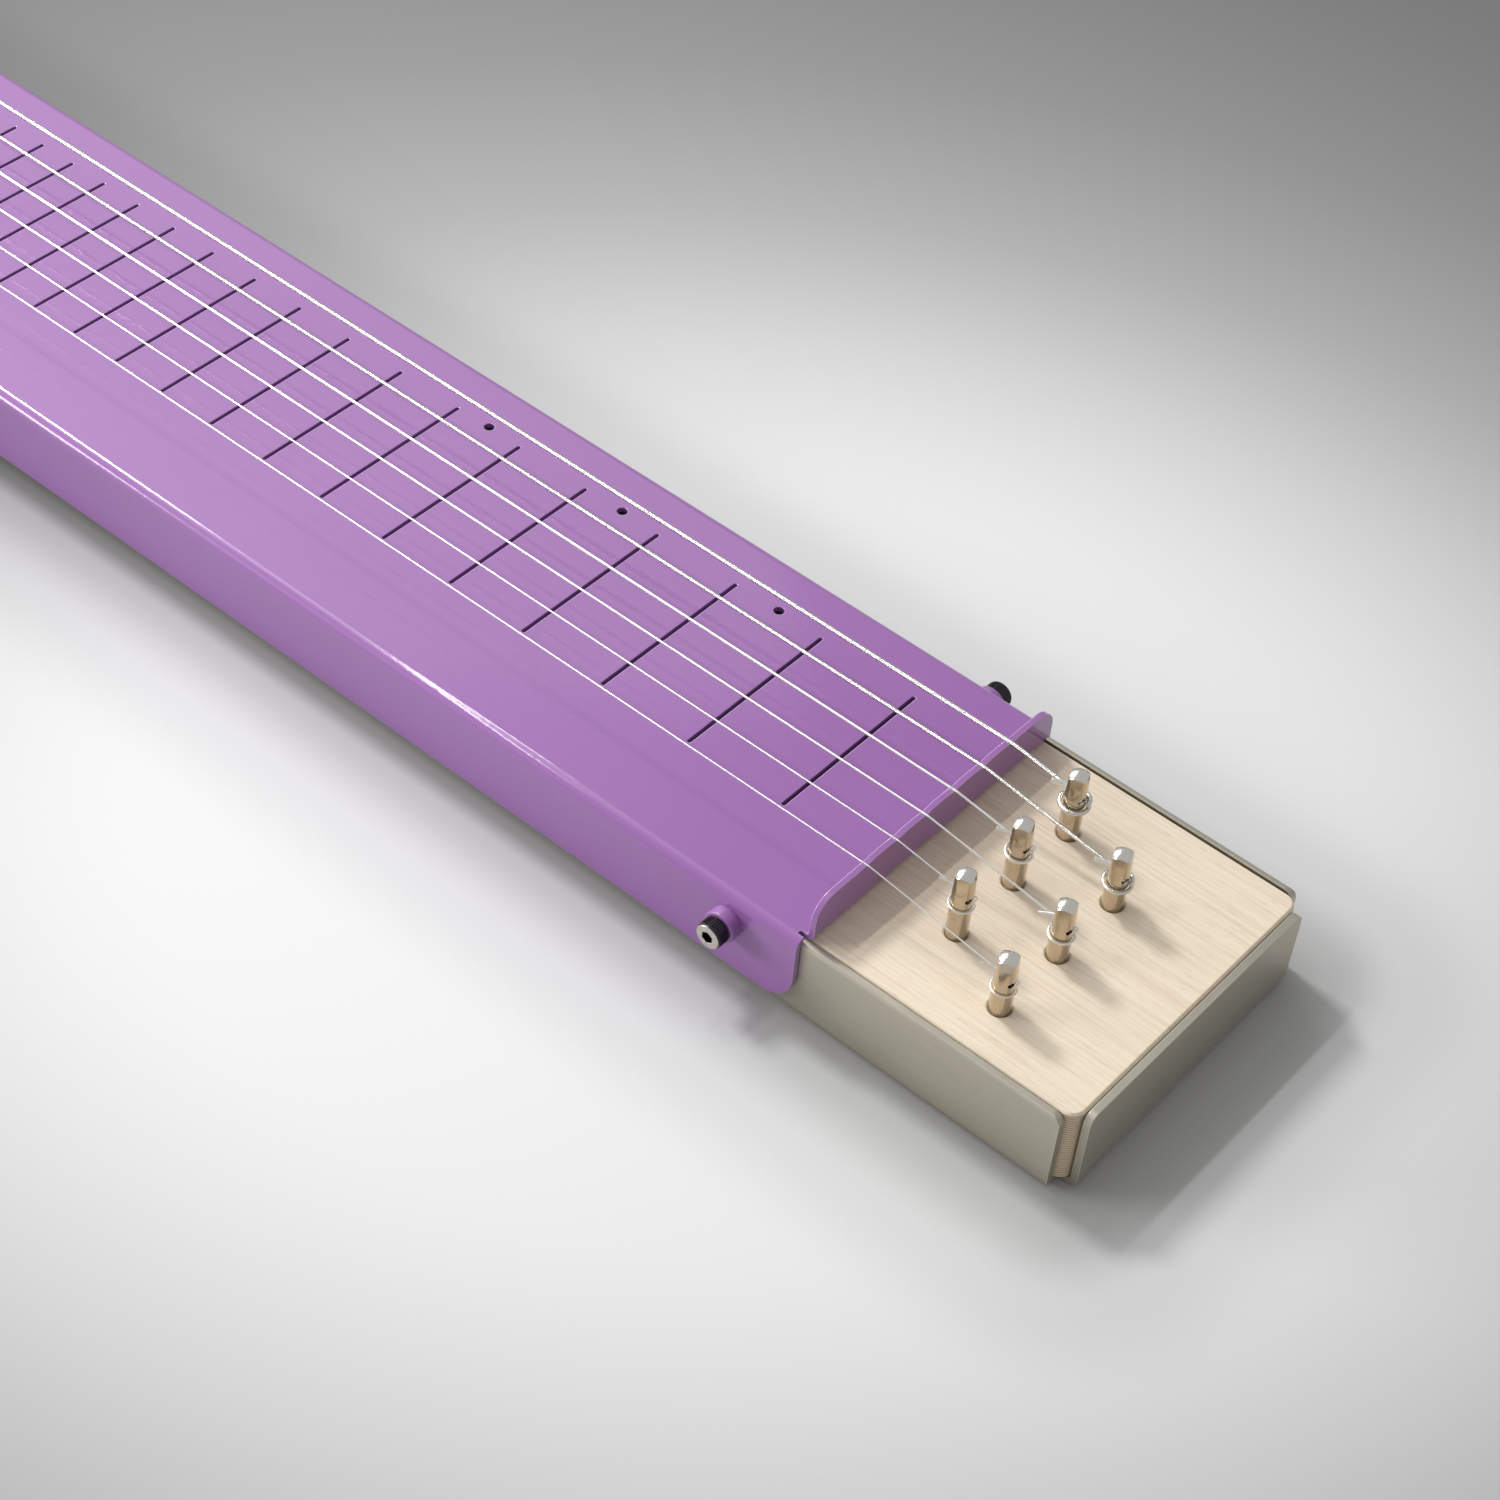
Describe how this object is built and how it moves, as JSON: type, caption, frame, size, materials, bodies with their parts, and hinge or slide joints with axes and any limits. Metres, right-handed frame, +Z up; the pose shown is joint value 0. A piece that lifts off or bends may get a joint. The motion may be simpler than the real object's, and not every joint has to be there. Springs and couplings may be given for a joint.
{
  "type": "lap steel guitar",
  "caption": "Slim lap steel guitar: a folded purple metal shell with upturned nut and bridge over a maple core in a metal tray, with upright tuning pins.",
  "frame": {"origin": "middle of the bounding box on the ground, under the tray", "axes": "+X towards the head with its tuning pins, +Y towards the bass strings, +Z up"},
  "size_m": [0.7682, 0.115, 0.0462],
  "materials": {
    "purple_powder_coat": "gloss powder coat",
    "champagne_aluminium": "fine satin, warm grey",
    "maple": "fine sanded, clear matt finish",
    "plain_string": "bright drawn steel",
    "wound_string": "round-wound nickel-plated steel",
    "nickel": "polished nickel plate",
    "screw_steel": "zinc-plated steel",
    "brass": "turned brass",
    "bobbin_plastic": "moulded, black",
    "copper_wire": "enamelled copper wire",
    "magnet_ceramic": "sintered ferrite",
    "silicone": "soft tube",
    "pot_case": "pressed, plated steel",
    "knob_aluminium": "turned and fluted, satin"
  },
  "bodies": {
    "root": {"shell": "purple_powder_coat", "tray": "champagne_aluminium", "wood_core": "maple", "string_1": "plain_string", "string_2": "plain_string", "string_3": "plain_string", "string_4": "plain_string", "string_5": "wound_string", "string_6": "wound_string", "ball_ends": "brass", "tail_bracket": "nickel", "tail_bracket_screws": "screw_steel", "pickup_cover": "nickel", "pickup_bobbin": "bobbin_plastic", "pickup_coil": "copper_wire", "pickup_pole_pieces": "nickel", "pickup_magnet": "magnet_ceramic", "pickup_baseplate": "screw_steel", "pickup_screws": "nickel", "pickup_sleeves": "silicone", "volume_pot": "pot_case", "volume_washer": "nickel", "volume_nut": "nickel", "tone_pot": "pot_case", "tone_washer": "nickel", "tone_nut": "nickel", "output_jack": "nickel", "jack_washer": "nickel", "jack_nut": "nickel", "side_screws": "screw_steel", "screw_bosses": "purple_powder_coat", "tray_screws": "screw_steel"},
    "pin_1": {"tuning_pin_1": "nickel", "string_tail_1": "plain_string"},
    "pin_2": {"tuning_pin_2": "nickel", "string_tail_2": "plain_string"},
    "pin_3": {"tuning_pin_3": "nickel", "string_tail_3": "plain_string"},
    "pin_4": {"tuning_pin_4": "nickel", "string_tail_4": "plain_string"},
    "pin_5": {"tuning_pin_5": "nickel", "string_tail_5": "wound_string"},
    "pin_6": {"tuning_pin_6": "nickel", "string_tail_6": "wound_string"},
    "volume_control": {"volume_knob": "knob_aluminium", "volume_shaft": "brass"},
    "tone_control": {"tone_knob": "knob_aluminium", "tone_shaft": "brass"}
  },
  "joints": [
    {"name": "tuning_pin_1_turn", "type": "hinge", "parent": "root", "child": "pin_1", "pos_m": [0.349, -0.03115, 0.0254], "axis": [0, 0, -1], "range_deg": [-60, 30]},
    {"name": "tuning_pin_2_turn", "type": "hinge", "parent": "root", "child": "pin_2", "pos_m": [0.3276, -0.01998, 0.0254], "axis": [0, 0, -1], "range_deg": [-60, 30]},
    {"name": "tuning_pin_3_turn", "type": "hinge", "parent": "root", "child": "pin_3", "pos_m": [0.349, -0.00886, 0.0254], "axis": [0, 0, -1], "range_deg": [-60, 30]},
    {"name": "tuning_pin_4_turn", "type": "hinge", "parent": "root", "child": "pin_4", "pos_m": [0.3276, 0.00227, 0.0254], "axis": [0, 0, -1], "range_deg": [-60, 30]},
    {"name": "tuning_pin_5_turn", "type": "hinge", "parent": "root", "child": "pin_5", "pos_m": [0.349, 0.01332, 0.0254], "axis": [0, 0, -1], "range_deg": [-60, 30]},
    {"name": "tuning_pin_6_turn", "type": "hinge", "parent": "root", "child": "pin_6", "pos_m": [0.3276, 0.02439, 0.0254], "axis": [0, 0, -1], "range_deg": [-60, 30]},
    {"name": "volume_turn", "type": "hinge", "parent": "root", "child": "volume_control", "pos_m": [-0.3415, -0.022, 0.0254], "axis": [0, 0, -1], "range_deg": [-150, 150]},
    {"name": "tone_turn", "type": "hinge", "parent": "root", "child": "tone_control", "pos_m": [-0.3415, 0.022, 0.0254], "axis": [0, 0, -1], "range_deg": [-150, 150]}
  ]
}
